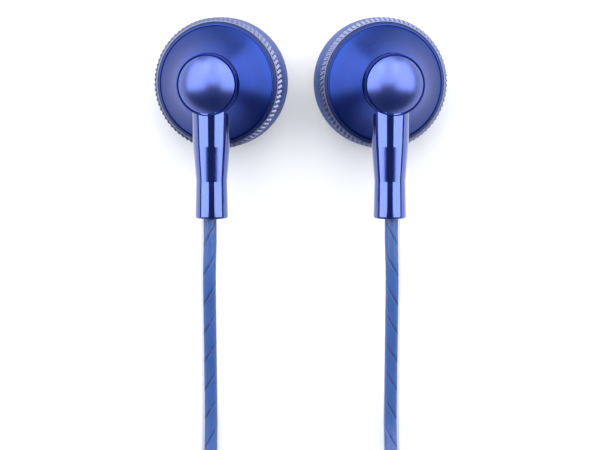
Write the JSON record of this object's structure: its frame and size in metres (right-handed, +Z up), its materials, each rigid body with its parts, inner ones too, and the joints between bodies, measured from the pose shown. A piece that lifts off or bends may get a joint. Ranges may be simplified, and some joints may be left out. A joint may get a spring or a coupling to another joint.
{
  "type": "wired earphones",
  "caption": "Pair of wired open earphones with flared anodised rears, knurled trim rings, stems, a twisted two-strand cord, a barrel splitter and a stereo plug.",
  "frame": {"origin": "on the table, at the middle of the box round the two earphones", "axes": "+X from the left earphone to the right one, +Y away from the cords, +Z up, out of the rears"},
  "size_m": [0.0386, 0.1745, 0.0147],
  "materials": {
    "anodised_blue": "bright turned, blue anodised",
    "bright_aluminium": "bright, diamond cut",
    "shell_plastic": "satin moulded",
    "grille_steel": "perforated, lacquered blue",
    "blue_silicone": "matte moulded",
    "blue_rubber": "satin moulded",
    "black_plastic": "moulded",
    "driver_steel": "pressed, zinc plated",
    "magnet_plate": "nickel plated",
    "damping_cloth": "felted",
    "copper": "enamelled copper wire",
    "diaphragm_film": "clear polyester film",
    "circuit_board": "solder-masked",
    "cord_jacket": "clear jacket over blue strands",
    "cord_strand": "insulated strand under the jacket",
    "gold_plate": "gold plated"
  },
  "bodies": {
    "earphones": {"left_rear_bell": "anodised_blue", "left_boss": "anodised_blue", "left_dome_cap": "anodised_blue", "left_stem": "anodised_blue", "left_cord_bush": "blue_rubber", "left_knurled_ring": "bright_aluminium", "left_front_shell": "shell_plastic", "left_front_grille": "grille_steel", "left_ear_cushion": "blue_silicone", "left_driver_basket": "black_plastic", "left_yoke_cup": "driver_steel", "left_magnet": "magnet_plate", "left_pole_plate": "driver_steel", "left_damping_disc": "damping_cloth", "left_terminal_board": "circuit_board", "left_live_wire": "copper", "left_return_wire": "copper", "left_cord_lead": "cord_jacket", "left_cord_tail": "cord_jacket", "right_rear_bell": "anodised_blue", "right_boss": "anodised_blue", "right_dome_cap": "anodised_blue", "right_stem": "anodised_blue", "right_cord_bush": "blue_rubber", "right_knurled_ring": "bright_aluminium", "right_front_shell": "shell_plastic", "right_front_grille": "grille_steel", "right_ear_cushion": "blue_silicone", "right_driver_basket": "black_plastic", "right_yoke_cup": "driver_steel", "right_magnet": "magnet_plate", "right_pole_plate": "driver_steel", "right_damping_disc": "damping_cloth", "right_terminal_board": "circuit_board", "right_live_wire": "copper", "right_return_wire": "copper", "right_cord_lead": "cord_jacket", "right_cord_tail": "cord_jacket", "branch_coil": "cord_jacket", "branch_coil_tie": "blue_rubber", "main_coil": "cord_jacket", "main_coil_tie": "blue_rubber", "main_cord_lead": "cord_jacket", "main_cord_tail": "cord_jacket", "splitter_barrel": "anodised_blue", "splitter_insert": "blue_rubber", "plug_strain_relief": "blue_rubber", "plug_barrel": "anodised_blue", "plug_collar": "black_plastic", "plug_sleeve_contact": "gold_plate", "plug_ring_insulator": "black_plastic", "plug_ring_contact": "gold_plate", "plug_tip_insulator": "black_plastic", "plug_tip_contact": "gold_plate"},
    "left_cone": {"left_diaphragm": "diaphragm_film", "left_voice_coil": "copper"},
    "right_cone": {"right_diaphragm": "diaphragm_film", "right_voice_coil": "copper"}
  },
  "joints": [
    {"name": "left_diaphragm_travel", "type": "slide", "parent": "earphones", "child": "left_cone", "axis": [-0.2079, -0.0938, 0.9736], "range_m": [-0.00025, 0.00025], "stiffness_N_per_m": 80},
    {"name": "right_diaphragm_travel", "type": "slide", "parent": "earphones", "child": "right_cone", "axis": [0.2079, -0.0938, 0.9736], "range_m": [-0.00025, 0.00025], "stiffness_N_per_m": 80}
  ]
}
